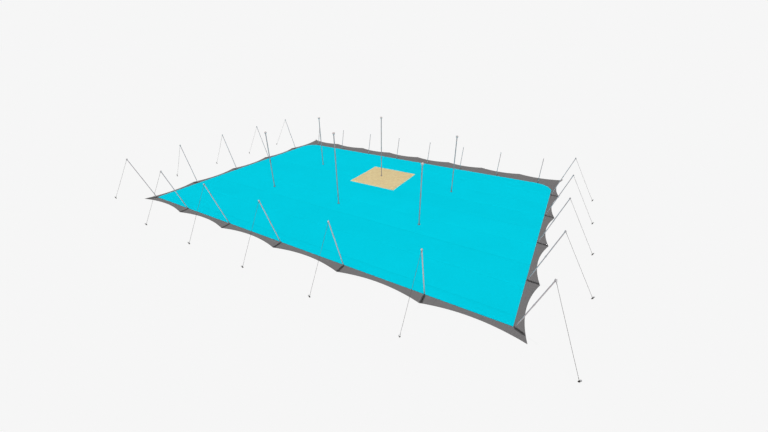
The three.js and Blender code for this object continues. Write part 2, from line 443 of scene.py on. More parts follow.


# The sheet's dark grey is a painted shadow of the tent's canopy
# Coated woven sheet: welded seams between panels along Y, a stitched hem that follows the outline by its uv
def makeShadowSheetFabric():
    look = shadowGroundSheetLook
    material, tree, shader = newMaterial("coatedSheet", {"Roughness": 0.86, "Specular IOR Level": 0.25})
    place, edge = objectPlace(tree), axes(tree, surfaceUv(tree))
    toned = mottled(tree, place, look["color"], 0.55, 0.10, 0.05)
    halfPanel = look["panel"] / 2
    fromSeam = apart(tree, maths(tree, "PINGPONG", axes(tree, place)[0], halfPanel), halfPanel)
    seam = mapped(tree, fromSeam, *look["seam"], 1.0, 0.0)
    hem = mapped(tree, edge[1], look["hem"] - 0.002, look["hem"], 1.0, 0.0)
    stitch = stitched(tree, apart(tree, edge[1], look["hem"] - look["stitchRow"]), edge[0], look)
    inset = plus(tree, times(tree, seam, look["seamTone"]), times(tree, hem, look["hemTone"]))
    color = scaled(tree, toned["Color"], maths(tree, "SUBTRACT", 1.0, inset))
    threads = addNode(tree, "Group", {"Vector": place, "Threads": look["threads"]}, node_tree=weaveGroup)[0]
    height = plus(tree, threads, plus(tree, times(tree, seam, 1.5), times(tree, stitch, 1.2)))
    setInputs(tree, shader, {
        "Base Color": mixed(tree, times(tree, stitch, 0.6), color, look["threadColor"]),
        "Roughness": spread(tree, toned["Value"], 0.78, 0.92),
        "Normal": bump(tree, height, 0.0006, 0.7),
    })
    return material


# Colour of the dark bands, a painted shadow of the edge poles
shadowWebbingLook = {
    "color": (0.084, 0.082, 0.083, 1), "threadColor": (0.20, 0.20, 0.20, 1), "rib": 0.0042, "pick": 0.0016,
    "stitch": 0.008, "stitchRow": 0.066, "thread": (0.0009, 0.0016),
}


# Woven band whose dark colour is a painted shadow of its edge pole: ribs along it, fine picks across them,
# and a row of stitches near each edge. uv is (distance from its middle line, distance along it).
def makeShadowWebbingCloth():
    look = shadowWebbingLook
    material, tree, shader = newMaterial("wovenWebbing", {"Roughness": 0.82, "Specular IOR Level": 0.2})
    across, along = axes(tree, surfaceUv(tree))[:2]
    rib = maths(tree, "ABSOLUTE", sine(tree, across, math.pi / look["rib"]))
    pick = maths(tree, "ABSOLUTE", sine(tree, along, math.pi / look["pick"]))
    stitch = stitched(tree, apart(tree, maths(tree, "ABSOLUTE", across), look["stitchRow"]), along, look)
    toned = mottled(tree, objectPlace(tree), look["color"], 6.0, 0.12, 0.08)
    color = scaled(tree, toned["Color"], mapped(tree, times(tree, rib, pick), 0.0, 1.0, 0.84, 1.10))
    weft = maths(tree, "MULTIPLY_ADD", pick, 0.4, rib)
    setInputs(tree, shader, {
        "Base Color": mixed(tree, times(tree, stitch, 0.7), color, look["threadColor"]),
        "Roughness": spread(tree, toned["Value"], 0.74, 0.88),
        "Normal": bump(tree, maths(tree, "MULTIPLY_ADD", stitch, 1.2, weft), 0.0007, 0.8),
    })
    return material


carpetLook = {"color": (0.0006, 0.597, 0.753, 1), "roll": 2.0, "firstSeam": -7.66, "rollTone": 0.009,
              "fibre": 900.0, "clumps": 130.0}


# Needle felt: short fibres in every direction, and a slight change of tone from roll to roll
def makeCarpet():
    look = carpetLook
    material, tree, shader = newMaterial("carpetFelt", {"Roughness": 0.97, "Specular IOR Level": 0.01})
    place = objectPlace(tree)
    fromFirst = maths(tree, "SUBTRACT", axes(tree, place)[1], look["firstSeam"])
    rollNumber = maths(tree, "FLOOR", maths(tree, "DIVIDE", fromFirst, look["roll"]))
    shade = addNode(tree, "TexWhiteNoise", {"W": rollNumber}, noise_dimensions="1D")["Value"]
    toned = mottled(tree, place, look["color"], 0.35, 0.045, 0.03)
    fibre = noise(tree, place, look["fibre"], 3.0, distortion=1.2)
    clumps = addNode(tree, "TexVoronoi", {"Vector": place, "Scale": look["clumps"]})["Distance"]
    rollTone = mapped(tree, shade, 0.0, 1.0, 1 - look["rollTone"], 1 + look["rollTone"])
    tone = times(tree, rollTone, spread(tree, fibre, 0.95, 1.05))
    setInputs(tree, shader, {
        "Base Color": scaled(tree, toned["Color"], tone),
        "Normal": bump(tree, plus(tree, fibre, times(tree, clumps, 0.6)), 0.0009, 0.6),
    })
    return material


parquetLook = {"color": (0.80, 0.665, 0.369, 1), "warm": (0.75, 0.56, 0.268, 1), "grain": 26.0,
               "pores": 156.0, "stretch": (14.0, 1.0, 1.0)}


# Oak fingers: each has its own tone from the attribute "finger", and grain lines run along its uv
def makeParquet():
    look = parquetLook
    values = {"Roughness": 0.38, "Coat Weight": 0.12, "Coat Roughness": 0.25, "Specular IOR Level": 0.35}
    material, tree, shader = newMaterial("oakFingers", values)
    finger = addNode(tree, "Attribute", {}, attribute_name="finger")["Fac"]
    push = addNode(tree, "CombineXYZ", {0: times(tree, finger, 31.0), 1: times(tree, finger, 17.0)})[0]
    place = stretched(tree, surfaceUv(tree), look["stretch"])
    place = addNode(tree, "VectorMath", {0: place, 1: push}, operation="ADD")[0]
    grain = noise(tree, place, look["grain"], 6.0, roughness=0.65, distortion=0.8)
    pits = mapped(tree, noise(tree, place, look["pores"], 2.0), 0.60, 0.72, 1.0, 0.86)
    lines = mapped(tree, grain, 0.35, 0.65, 0.90, 1.07)
    tone = times(tree, times(tree, lines, pits), mapped(tree, finger, 0.0, 1.0, 1.05, 0.93))
    setInputs(tree, shader, {
        "Base Color": scaled(tree, mixed(tree, finger, look["color"], look["warm"]), tone),
        "Roughness": spread(tree, grain, 0.33, 0.46),
        "Normal": bump(tree, times(tree, pits, grain), 0.0004, 0.5),
    })
    return material


coatedLook = {"clouds": 3.0, "fine": 0.03, "scuffs": 16.0, "soilShare": 0.75, "soilRough": 0.3,
              "uneven": 0.06, "brush": (1.0, 0.02, 1.0)}


# A metal, wooden or plastic part with cloudy tone, fine grain and scuffs near the ground. Brushed grain runs
# along the piece.
def makeCoated(name, color, values, scuffReach, scuffColor=soil, amount=0.05, grainScale=240.0,
               grainDepth=0.0003, brushed=False):
    look, rough = coatedLook, values["Roughness"]
    material, tree, shader = newMaterial(name, values)
    place = objectPlace(tree)
    toned = mottled(tree, place, color, look["clouds"], amount, look["fine"])
    mask = scuffed(tree, place, scuffReach, look["scuffs"])
    grainPlace = stretched(tree, surfaceUv(tree), look["brush"]) if brushed else place
    grain = noise(tree, grainPlace, grainScale, 3.0)
    uneven = spread(tree, grain, rough - look["uneven"], rough + look["uneven"])
    setInputs(tree, shader, {
        "Base Color": mixed(tree, times(tree, mask, look["soilShare"]), toned["Color"], scuffColor),
        "Roughness": plus(tree, uneven, times(tree, mask, look["soilRough"])),
        "Normal": bump(tree, grain, grainDepth, 0.5),
    })
    return material


ropeLook = {"fibre": 1400.0, "along": (1.0, 0.08, 1.0), "slant": 0.35, "clouds": 2.5, "tone": 0.10,
            "soilReach": 0.25, "scuffs": 22.0, "soilShare": 0.5}


# Twisted rope: fine fibres run along each strand, at a slant to the uv
def makeRope(name, color):
    look, values = ropeLook, {"Roughness": 0.85, "Specular IOR Level": 0.2, "Sheen Weight": 0.1}
    material, tree, shader = newMaterial(name, values)
    place = objectPlace(tree)
    fibre = noise(tree, stretched(tree, surfaceUv(tree), look["along"], look["slant"]), look["fibre"], 3.0)
    toned = mottled(tree, place, color, look["clouds"], look["tone"], look["tone"])
    clean = scaled(tree, toned["Color"], spread(tree, fibre, 0.85, 1.12))
    mask = scuffed(tree, place, look["soilReach"], look["scuffs"])
    setInputs(tree, shader, {
        "Base Color": mixed(tree, times(tree, mask, look["soilShare"]), clean, ropeSoil),
        "Normal": bump(tree, fibre, 0.0008, 0.8),
    })
    return material


paint = {"Roughness": 0.45, "Specular IOR Level": 0.45}
moulded = {"Roughness": 0.55, "Specular IOR Level": 0.4}
shadowSheetFabric = makeShadowSheetFabric()
shadowWebbingCloth = makeShadowWebbingCloth()
carpetFelt = makeCarpet()
oakFingers = makeParquet()
boardEdge = makeCoated("darkBoard", (0.10, 0.075, 0.05, 1), {"Roughness": 0.8}, 0.1)
trimWood = makeCoated("paleTrim", (0.84, 0.74, 0.42, 1), {"Roughness": 0.42, "Specular IOR Level": 0.4}, 0.02,
                      brushed=True)
# Painted light: the steel, aluminium and king head colours lean to red to cancel the carpet's cyan bounce
# light
kingSteel = makeCoated("coatedKingSteel", (0.428, 0.375, 0.388, 1), paint, 0.08, brushed=True)
poleSteel = makeCoated("coatedSteel", (0.512, 0.464, 0.486, 1), paint, 0.10, brushed=True)
lowTube = makeCoated("plainAluminium", (0.500, 0.448, 0.458, 1), {"Roughness": 0.38, "Metallic": 0.3}, 0.08,
                     brushed=True)
headPlastic = makeCoated("mouldedHead", (0.56, 0.54, 0.56, 1), moulded, 0.1, grainScale=420.0)
kingHeadPlastic = makeCoated("mouldedKingHead", (0.625, 0.54, 0.535, 1), moulded, 0.1, grainScale=420.0)
footRubber = makeCoated("rubberFoot", (0.11, 0.11, 0.12, 1), {"Roughness": 0.8, "Specular IOR Level": 0.3},
                        0.06, grainScale=500.0)
boltSteel = makeCoated("zincFastening", (0.55, 0.56, 0.57, 1), {"Roughness": 0.3, "Metallic": 0.9}, 0.05)
# The rope colour leans to red too, a painted light that cancels the carpet's cyan bounce light
ropeFibre = makeRope("ropeFibre", (0.094, 0.084, 0.086, 1))
soiledRope = makeRope("soiledRope", (0.052, 0.049, 0.046, 1))
struckSteel = makeCoated("struckStakeHead", (0.42, 0.42, 0.43, 1), {"Roughness": 0.42, "Metallic": 0.55},
                         0.03, amount=0.15, grainScale=200.0, grainDepth=0.0008)
stakeSteel = makeCoated("forgedStake", (0.085, 0.085, 0.092, 1), {"Roughness": 0.5, "Metallic": 0.55},
                        0.12, rust, amount=0.2, grainScale=160.0, grainDepth=0.001)
print("materials made")


# Ground sheet, a painted shadow of the tent's canopy. Its outline runs from tip to tip in shallow hollow
# curves.

groundSheet = {
    "floorWidth": 24.92, "floorDepth": 16.68,
    "tip": 0.625, "hollow": 0.325, "backReach": 1.550, "cornerReach": 1.735,
    "frontTips": (-8.74, -4.47, -0.09, 4.25, 8.68),
    "backTips": (-9.72, -6.435, -3.1325, 0.1075, 3.29, 6.465, 9.715),  # midway between the low poles
    "rightBays": (3.22, 3.79, 3.79, 3.79), "leftBays": (3.15, 3.742, 3.742, 3.742), "bayStep": 0.075,
    "under": 0.45,  # how far the inner edge of the shaped border lies in under the floor
    "thick": 0.006, "thin": 0.0026,  # up to the poles' feet, and beyond them
    "thinFrom": 0.23, "thinTo": 0.34, "hem": shadowGroundSheetLook["hem"], "hemRise": 0.0015,
    "wave": 0.009, "waveFrom": 0.24, "waveTo": 0.62,
    "ripples": ((1.0, 7.9, 0.4), (0.7, 13.3, 2.1), (0.5, 4.1, -1.0)),  # size, rate and shift of each sine
    "swell": (0.83, 0.7), "calm": 0.3,  # rate and shift of the swell, and the least that it leaves of a wave
    "rings": 13, "growth": 1.3,  # of the face inside the hem, whose rings grow wider inwards
}
halfWidth, halfDepth = groundSheet["floorWidth"] / 2, groundSheet["floorDepth"] / 2


# One side of the outline from tip to tip. tips are distances along it, and each bay draws in by
# 4 * hollow * t * (1 - t).
def hollowSide(tips):
    along, inward = [], []
    for start, end in zip(tips[:-1], tips[1:]):
        steps = int(round((end - start) / groundSheet["bayStep"]))
        t = np.arange(steps) / steps
        along.append(start + (end - start) * t)
        inward.append(4 * groundSheet["hollow"] * t * (1 - t))
    return np.concatenate(along), np.concatenate(inward)


# The outline, anticlockwise from the front left tip, and the line that it is drawn in to, under the floor
def sheetLines():
    cut = groundSheet
    reachX, reachY = halfWidth + cut["tip"], halfDepth + cut["tip"]
    backY = halfDepth + cut["cornerReach"]
    rightTips, leftTips = (np.concatenate([[-reachY], -halfDepth + np.cumsum(cut[bays]), [backY]])
                           for bays in ("rightBays", "leftBays"))
    backTips = np.array([-reachX, *cut["backTips"], reachX])
    backTipY = np.full(len(backTips), halfDepth + cut["backReach"])
    backTipY[[0, -1]] = backY
    x, draw = hollowSide(np.array([-reachX, *cut["frontTips"], reachX]))
    front = np.stack([x, -reachY + draw], -1)
    y, draw = hollowSide(rightTips)
    right = np.stack([reachX - draw, y], -1)
    x, draw = hollowSide(-backTips[::-1])
    back = np.stack([-x, np.interp(-x, backTips, backTipY) - draw], -1)
    y, draw = hollowSide(leftTips)
    left = np.concatenate([[[-reachX, backY]], np.stack([-reachX + draw, y], -1)[:0:-1]])
    innerX, innerY = halfWidth - cut["under"], halfDepth - cut["under"]
    fitX = lambda x: x * (innerX / reachX)
    fitY = lambda y: np.interp(y, [-reachY, backY], [-innerY, innerY])
    inner = np.concatenate([
        np.stack([fitX(front[:, 0]), np.full(len(front), -innerY)], -1),
        np.stack([np.full(len(right), innerX), fitY(right[:, 1])], -1),
        np.stack([fitX(back[:, 0]), np.full(len(back), innerY)], -1),
        np.stack([np.full(len(left), -innerX), fitY(left[:, 1])], -1),
    ])
    return np.concatenate([front, right, back, left]), inner


sheetOutline, sheetInner = sheetLines()


# How far a point lies beyond the floor's sides along X and along Y
def overFloor(x, y):
    return np.maximum(np.abs(x) - halfWidth, 0), np.maximum(np.abs(y) - halfDepth, 0)


# Soft waves beyond the poles' feet: sines of the distance along the edge, lifted so that none goes below 0,
# and a slow swell over them
def sheetWave(x, y):
    cut = groundSheet
    overX, overY = overFloor(x, y)
    share = overX ** 2 / np.maximum(overX ** 2 + overY ** 2, 1e-9)
    along = x * (1 - share) + y * share
    sines = sum(size * np.sin(along * rate + shift) for size, rate, shift in cut["ripples"])
    ripple = sines / sum(size for size, rate, shift in cut["ripples"])
    rate, shift = cut["swell"]
    swell = 0.5 + 0.5 * np.sin(along * rate + shift)
    rise = smoothStep(np.hypot(overX, overY), cut["waveFrom"], cut["waveTo"])
    return cut["wave"] * (0.5 + 0.5 * ripple) * (cut["calm"] + (1 - cut["calm"]) * swell) * rise


def sheetThickness(x, y):
    cut = groundSheet
    share = smoothStep(np.hypot(*overFloor(x, y)), cut["thinFrom"], cut["thinTo"])
    return cut["thick"] - (cut["thick"] - cut["thin"]) * share


def sheetTop(x, y):
    return sheetThickness(x, y) + sheetWave(x, y)


# The cross product of flat vectors
def crossed(a, b):
    return a[..., 0] * b[..., 1] - a[..., 1] * b[..., 0]


# Rings from the underside's inner line out to the edge and back in over the top. Each point lies on the
# straight line from the outline to the inner line, at its distance from the edge.
def makeShadowGroundSheet():
    hem, rise = groundSheet["hem"], groundSheet["hemRise"]
    outer, inward = sheetOutline, sheetInner - sheetOutline
    span = np.linalg.norm(inward, axis=1)
    inward = inward / span[:, None]
    hemRows = np.array([0.0, 0.0012, 0.004, 0.020, hem - 0.003, hem, hem + 0.002])
    hemLift = np.array([-0.0014, -0.0003, 0.0, 0.0, 0.0, -0.0007, -0.0015]) + rise
    share = np.linspace(0, 1, groundSheet["rings"] + 1)[1:] ** groundSheet["growth"]
    restRows = hemRows[-1] + share[:, None] * (span - hemRows[-1])
    distance = np.concatenate([np.repeat(hemRows[:, None], len(span), 1), restRows])
    lift = np.concatenate([hemLift, np.zeros(len(share))])[:, None]
    x = outer[:, 0] + inward[:, 0] * distance
    y = outer[:, 1] + inward[:, 1] * distance
    wave = sheetWave(x, y)
    top = np.stack([x, y, wave + sheetThickness(x, y) + lift], -1)
    low = np.stack([x, y, np.minimum(wave, top[..., 2] - 0.0004)], -1)
    low[0, :, 2] += 0.0008
    rings = np.concatenate([low[::-1], top])
    along = np.concatenate([distance.mean(1)[::-1] + 1.0, distance.mean(1)])
    ahead = np.roll(outer, -1, 0)
    perimeter = np.linalg.norm(ahead - outer, axis=1).sum()
    piece = makePiece("groundSheet", [ringShell(rings, along, perimeter)], [shadowSheetFabric],
                      ["ground_sheet"], sharpAngle=50)
    area = abs(crossed(outer, ahead).sum()) / 2
    return piece, np.ptp(outer, axis=0), float(area)


sheet, sheetFlat, sheetArea = makeShadowGroundSheet()
print("ground sheet made, flat", np.round(sheetFlat, 3), "area", round(sheetArea, 1))


# Carpeted floor: rolls laid side by side across the boards, turned down over the edge

carpet = {"round": 0.009, "seamWidth": 0.0016, "seamDepth": 0.0006, "lastSeam": 0.2, "spacing": 0.25,
          "dip": 0.0012, "corner": 1.3, "cornerRows": 24,
          "waves": ((1.31, 0.5, 1.07, 1.2), (0.47, 0.0, 0.63, 0.0))}  # rate and shift along X, then along Y


# The back corners are rounded: in the last square of side R, (u, v) moves to (u, v) * max(u, v) / hypot(u, v)
def roundBackCorners(x, y, low, high):
    reach = carpet["corner"]
    u = np.maximum(np.abs(x - (low[0] + high[0]) / 2) - (high[0] - low[0]) / 2 + reach, 0)
    v = np.maximum(y - high[1] + reach, 0)
    pull = 1 - np.maximum(u, v) / np.maximum(np.hypot(u, v), 1e-9)
    inCorner = (u > 0) & (v > 0)
    return x - np.where(inCorner, np.sign(x) * u * pull, 0), y - np.where(inCorner, v * pull, 0)


# z = top - dip * (0.5 + slow waves) - seam grooves - edge rounding. The waves are a quarter of the sum of
# sin(x) * sin(y), and the rounding is r - sqrt(r^2 - dx^2 - dy^2).
def makeCarpetFloor():
    low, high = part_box("floor")
    r, reach, seamWidth = carpet["round"], carpet["corner"], carpet["seamWidth"]
    rounding = r * (1 - np.cos(np.linspace(0, np.pi / 2, 6)))
    seams = np.arange(carpetLook["firstSeam"], high[1] - carpet["lastSeam"], carpetLook["roll"])
    seamRows = (seams[:, None] + np.array([-1, -0.3, 0, 0.3, 1]) * seamWidth).ravel()
    x = np.linspace(low[0] + reach, high[0] - reach, int((high[0] - low[0]) / carpet["spacing"]))
    y = np.linspace(low[1] + r, high[1] - reach, int((high[1] - low[1]) / carpet["spacing"]))
    lastX, lastY = (np.linspace(high[k] - reach, high[k] - r, carpet["cornerRows"]) for k in (0, 1))
    x = np.concatenate([low[0] + rounding[:-1], low[0] + high[0] - lastX[::-1], x[1:-1], lastX,
                        (high[0] - rounding[:-1])[::-1]])
    y = np.concatenate([y[:-1], lastY])
    y = y[np.abs(y[:, None] - seams).min(1) > 2 * seamWidth]
    y = np.sort(np.concatenate([low[1] + rounding[:-1], y, seamRows, (high[1] - rounding[:-1])[::-1]]))
    x, y = np.meshgrid(x, y)
    edgeX = np.maximum(r - np.minimum(x - low[0], high[0] - x), 0)
    edgeY = np.maximum(r - np.minimum(y - low[1], high[1] - y), 0)
    drop = r - np.sqrt(np.maximum(r ** 2 - edgeX ** 2 - edgeY ** 2, 0))
    toSeam = np.abs(y[..., None] - seams).min(-1)
    groove = carpet["seamDepth"] * np.clip(1 - toSeam / seamWidth, 0, 1)
    slow = sum(np.sin(x * a + b) * np.sin(y * c + d) for a, b, c, d in carpet["waves"]) / 4
    z = high[2] - carpet["dip"] * (0.5 + slow) - groove - drop
    x, y = roundBackCorners(x, y, low, high)
    makePiece("carpetFloor", [slabShell(np.stack([x, y, z], -1), low[2])], [carpetFelt], ["floor"])


makeCarpetFloor()
print("floor made")


# Dance floor: sixteen square panels of oak fingers on dark boards, in a pale sloping trim

danceFloor = {"panels": 4, "blocks": 4, "fingers": 5, "trim": 0.045, "trimBevel": 0.0025, "panelGap": 0.0025,
              "fingerGap": 0.0007, "fingerDepth": 0.009, "chamfer": 0.0009, "seed": 11}
square = np.array([[-1, -1], [1, -1], [1, 1], [-1, 1]], float)


# Template finger: a box with its four top edges chamfered, scaled and placed for every finger as whole arrays
def makeFingers(low, high):
    look = danceFloor
    blocks, gap = look["blocks"], look["panelGap"]
    panel = (high[0] - low[0] - 2 * look["trim"]) / look["panels"]
    block = (panel - gap) / blocks
    finger = block / look["fingers"]
    places = np.arange(look["panels"] * blocks)
    column, row, number = (grid.ravel() for grid in
                           np.meshgrid(places, places, np.arange(look["fingers"]), indexing="ij"))
    originX = low[0] + look["trim"] + (column // blocks) * panel + gap / 2 + (column % blocks) * block
    originY = low[1] + look["trim"] + (row // blocks) * panel + gap / 2 + (row % blocks) * block
    turned = ((column + row) % 2).astype(bool)
    alongCentre, acrossCentre = block / 2, (number + 0.5) * finger
    centreX = originX + np.where(turned, acrossCentre, alongCentre)
    centreY = originY + np.where(turned, alongCentre, acrossCentre)
    halfAlong, halfAcross = (block - look["fingerGap"]) / 2, (finger - look["fingerGap"]) / 2
    chamfer = look["chamfer"]
    inset = np.repeat([0, 0, chamfer], 4)
    corner = np.tile(square, (3, 1))
    local = np.stack([corner[:, 0] * (halfAlong - inset), corner[:, 1] * (halfAcross - inset)], -1)
    z = high[2] + np.repeat([-look["fingerDepth"], -chamfer, 0.0], 4)
    x = centreX[:, None] + np.where(turned[:, None], -local[:, 1], local[:, 0])
    y = centreY[:, None] + np.where(turned[:, None], local[:, 0], local[:, 1])
    points = np.stack([x, y, np.broadcast_to(z, x.shape)], -1)
    sides = ringQuads(3, 4)[0].reshape(-1, 4)
    faces = np.concatenate([sides, [[8, 9, 10, 11]], [[3, 2, 1, 0]]])
    offset = len(local) * np.arange(len(points))[:, None, None]
    rng = np.random.default_rng(look["seed"])
    uv = local[faces][:, :, ::-1][None] + rng.uniform(0, 5, (len(points), 1, 1, 2))
    shell = newShell(points, [(faces[None] + offset).reshape(-1, 4)], [uv.reshape(-1, 4, 2)])
    piece = makePiece("danceFloorFingers", [shell], [oakFingers], ["dance_floor"], sharpAngle=20)
    tone = np.repeat(rng.beta(2.0, 2.6, len(points)), len(local))
    piece.data.attributes.new("finger", "FLOAT", "POINT").data.foreach_set("value", tone.astype(np.float32))


# Trim: a ramp profile with rows of (distance in from the edge, height) carried round the square, mitred at
# its corners
def makeTrim(low, high):
    width, rise = danceFloor["trim"], high[2] - low[2]
    lip, base = rise - 0.0006, 0.0003
    profile = eased([(0.0, base), (0.0, 0.35 * rise), (0.6 * width, lip), (width - 0.001, lip),
                     (width - 0.001, base)], danceFloor["trimBevel"])
    inward, height = profile[:, 0], low[2] + profile[:, 1]
    middle = np.array([(low[0] + high[0]) / 2, (low[1] + high[1]) / 2])
    side = high[0] - low[0]
    xy = middle + square[None] * (side / 2 - inward)[:, None, None]
    rings = np.concatenate([xy, np.broadcast_to(height[:, None, None], (len(height), 4, 1))], -1)
    quads, row, col = ringQuads(len(rings), 4, True)
    distance = lengthAlong(profile)[row]
    uv = quadUv(col * side, (col + 1) * side, distance, distance + 0.005)[..., ::-1]
    shell = newShell(rings, [quads.reshape(-1, 4)], [uv.reshape(-1, 4, 2)])
    makePiece("danceFloorTrim", [shell], [trimWood], sharpAngle=25)


def makeBoards(low, high):
    inset = danceFloor["trim"] - 0.0005
    x, y = np.meshgrid(*(np.linspace(low[k] + inset, high[k] - inset, 9) for k in (0, 1)))
    top = np.stack([x, y, np.full(x.shape, high[2] - danceFloor["fingerDepth"] - 0.0002)], -1)
    makePiece("danceFloorBoards", [slabShell(top, low[2] + 0.0003)], [boardEdge])


for makeLayer in (makeFingers, makeTrim, makeBoards):
    makeLayer(*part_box("dance_floor"))
print("dance floor made")


# Poles. Each has a foot, a tube in two lengths joined by a sleeve with two cross pins, and a ball head.

edgePole = {"tube": 0.024, "head": 0.045, "groove": 0.006, "grooveWidth": 0.008, "foot": 0.036,
            "footHeight": 0.024, "boot": 0.085, "sleeveAt": 0.52, "sleeve": 0.065, "sleeveGrow": 0.0028,
            "sides": 28}
lowPole = {"tube": 0.024, "head": 0.032, "groove": 0.0, "grooveWidth": 1.0, "foot": 0.035,
           "footHeight": 0.024, "boot": 0.070, "sleeveAt": 0.5, "sleeve": 0.05, "sleeveGrow": 0.0022,
           "sides": 24}
kingPole = {"tube": 0.033, "head": 0.086, "groove": 0.0022, "grooveWidth": 0.003, "flange": 0.084,
            "flangeHeight": 0.012, "socket": 0.053, "socketHeight": 0.050, "grip": 0.005, "sleeveAt": 0.5,
            "sleeve": 0.10, "sleeveGrow": 0.0035, "bolts": 4, "boltCircle": 0.071, "boltHead": 0.0075,
            "boltHeight": 0.008, "washer": 0.0105, "washerThick": 0.0015, "sides": 36}
rubber = {"grip": 0.0045, "ribs": 3, "firstRib": 0.030, "ribStep": 0.014, "ribDepth": 0.0015}
crossPin = {"radius": 0.005, "head": 0.008, "headHeight": 0.005, "proud": 0.007}
tubePart, footPart, boltPart, headPart = range(4)  # numbers of a pole's materials
pinSides, footSides, headSides, washerSides, boltSides = 14, 36, 36, 18, 6
neckLength, intoHead = 0.030, 0.5  # the tube ends at half of the head's radius from its centre


# Painted shadow: dark woven bands sewn on the ground sheet along each edge pole's shadow, from the pole's
# foot out to the sheet's edge, with an eyelet

shadowWebbing = {"width": 0.150, "thick": 0.0042, "fromPad": 0.004, "fromEdge": 0.016, "rows": 26, "seat": 0.0003,
           "eyelet": 0.016, "wire": 0.0036, "eyeletAt": 0.060, "wireSides": 10, "eyeletSides": 36}


# Distance from a point p to the sheet's outline in a direction d: t = (a - p) x e / (d x e) for a side
# a -> a + e that the line meets at its share s = (a - p) x d / (d x e)
def reachToEdge(place, toward):
    sides = np.roll(sheetOutline, -1, 0) - sheetOutline
    offset = sheetOutline - place
    slant = crossed(toward, sides) + 1e-12
    t, s = crossed(offset, sides) / slant, crossed(offset, toward) / slant
    return t[(s >= 0) & (s <= 1) & (t > 0)].min()


# A flat dark section with soft edges along the pole's painted shadow, carried along the sheet's own height
def shadowWebbingShells(foot, toward):
    look = shadowWebbing
    half, side = look["width"] / 2, np.array([-toward[1], toward[0]])
    start = foot[:2] + toward * (edgePole["foot"] + look["fromPad"])
    length = min(reachToEdge(start + side * half * k, toward) for k in (-1, 0, 1)) - look["fromEdge"]
    across = half * np.array([1, 1, 0.985, 0.95, 0.6, 0.2, -0.2, -0.6, -0.95, -0.985, -1, -1, -0.5, 0, 0.5])
    rise = look["thick"] * np.array([0, 0.55, 0.9, 1, 1, 1, 1, 1, 1, 0.9, 0.55, 0, 0, 0, 0])
    ends = np.array([0.0, 0.0015, 0.004])
    along = np.concatenate([ends, np.linspace(0.02, length - 0.02, look["rows"]), length - ends[::-1]])
    fade = np.ones(len(along))
    fade[[0, 1, -2, -1]] = 0.55, 0.9, 0.9, 0.55
    xy = start + along[:, None, None] * toward + across[None, :, None] * side
    z = sheetTop(xy[..., 0], xy[..., 1]) + look["seat"] + rise * fade[:, None]
    rings = np.concatenate([xy, z[..., None]], -1)
    band = ringShell(rings, along, np.append(-across, -across[0]))
    x, y = start + toward * (length - look["eyeletAt"])
    bend = np.linspace(0, 2 * np.pi, look["wireSides"] + 1)[:-1]
    wire = look["wire"] * np.stack([0.5 * np.sin(bend), np.cos(bend)], -1) + [0, look["eyelet"]]
    seat = np.array([x, y, sheetTop(x, y) + look["seat"] + look["thick"]])
    return [band, hoopShell(seat, up, wire, look["eyeletSides"], 1)]


# One dark band along each edge pole's shadow: painted shadow
def makeShadowWebbing():
    shells = []
    for node in sorted(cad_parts):
        if node.startswith("edge_pole_"):
            foot = footOf(node)
            shells += shadowWebbingShells(foot, unit((headOf(node, edgePole["head"]) - foot)[:2]))
    return makePiece("webbingBands", shells, [shadowWebbingCloth, boltSteel])


webbingBands = makeShadowWebbing()


# A tube from start to end, its sleeve and the pins through it
def tubeShells(start, end, look):
    length = np.linalg.norm(end - start)
    axis = (end - start) / length
    tube, sleeve, sides = look["tube"], look["sleeve"], look["sides"]
    middle = look["sleeveAt"] * length
    thick = tube + look["sleeveGrow"]
    body = eased([(0, tube - 0.004), (0.001, tube), (middle - sleeve, tube), (middle, tube),
                  (middle + sleeve, tube), (length, tube)], 0.003)
    collar = eased([(-sleeve, tube - 0.002), (-sleeve, thick), (-0.6 * sleeve, thick), (0.6 * sleeve, thick),
                    (sleeve, thick), (sleeve, tube - 0.002)], 0.002)
    tip, radius, head = thick + crossPin["proud"], crossPin["radius"], crossPin["head"]
    shank = tip - crossPin["headHeight"]
    pin = eased([(-tip, 0.002), (-tip, head), (-shank, head), (-shank, radius),
                 (shank, radius), (shank, head), (tip, head), (tip, 0.002)], 0.0012)
    centre = start + axis * middle
    shells = [turnedShell(start, axis, body, sides, tubePart),
              turnedShell(centre, axis, collar, sides, tubePart)]
    for shift in (-0.45 * sleeve, 0.45 * sleeve):
        shells.append(turnedShell(centre + axis * shift, sidesOf(axis)[0], pin, pinSides, boltPart))
    return shells


# A ribbed rubber ferrule: a flat pad on the ground sheet and a boot that runs up the leaning tube
def footShells(foot, start, axis, look):
    radius, height, tube = look["foot"], look["footHeight"], look["tube"]
    pad = [(0.0, radius - 0.003), (0.002, radius), (height * 0.40, radius), (height * 0.48, radius - 0.0025),
           (height * 0.62, radius - 0.0025), (height * 0.70, radius - 0.0005),
           (height * 0.94, radius - 0.0015), (height, radius - 0.006), (height, 0.01)]
    grip = tube + rubber["grip"]
    groove = grip - rubber["ribDepth"]
    boot = [(0.004, grip - 0.004), (0.006, grip), (0.022, grip)]
    for step in range(rubber["ribs"]):
        at = rubber["firstRib"] + step * rubber["ribStep"]
        boot += [(at, groove), (at + 0.004, groove), (at + 0.006, grip), (at + 0.010, grip)]
    boot += [(look["boot"], grip - 0.001), (look["boot"] + 0.002, tube - 0.001)]
    return [turnedShell(foot, up, eased(pad, 0.0015), footSides + 4, footPart),
            turnedShell(start, axis, eased(boot, 0.0012), footSides, footPart)]


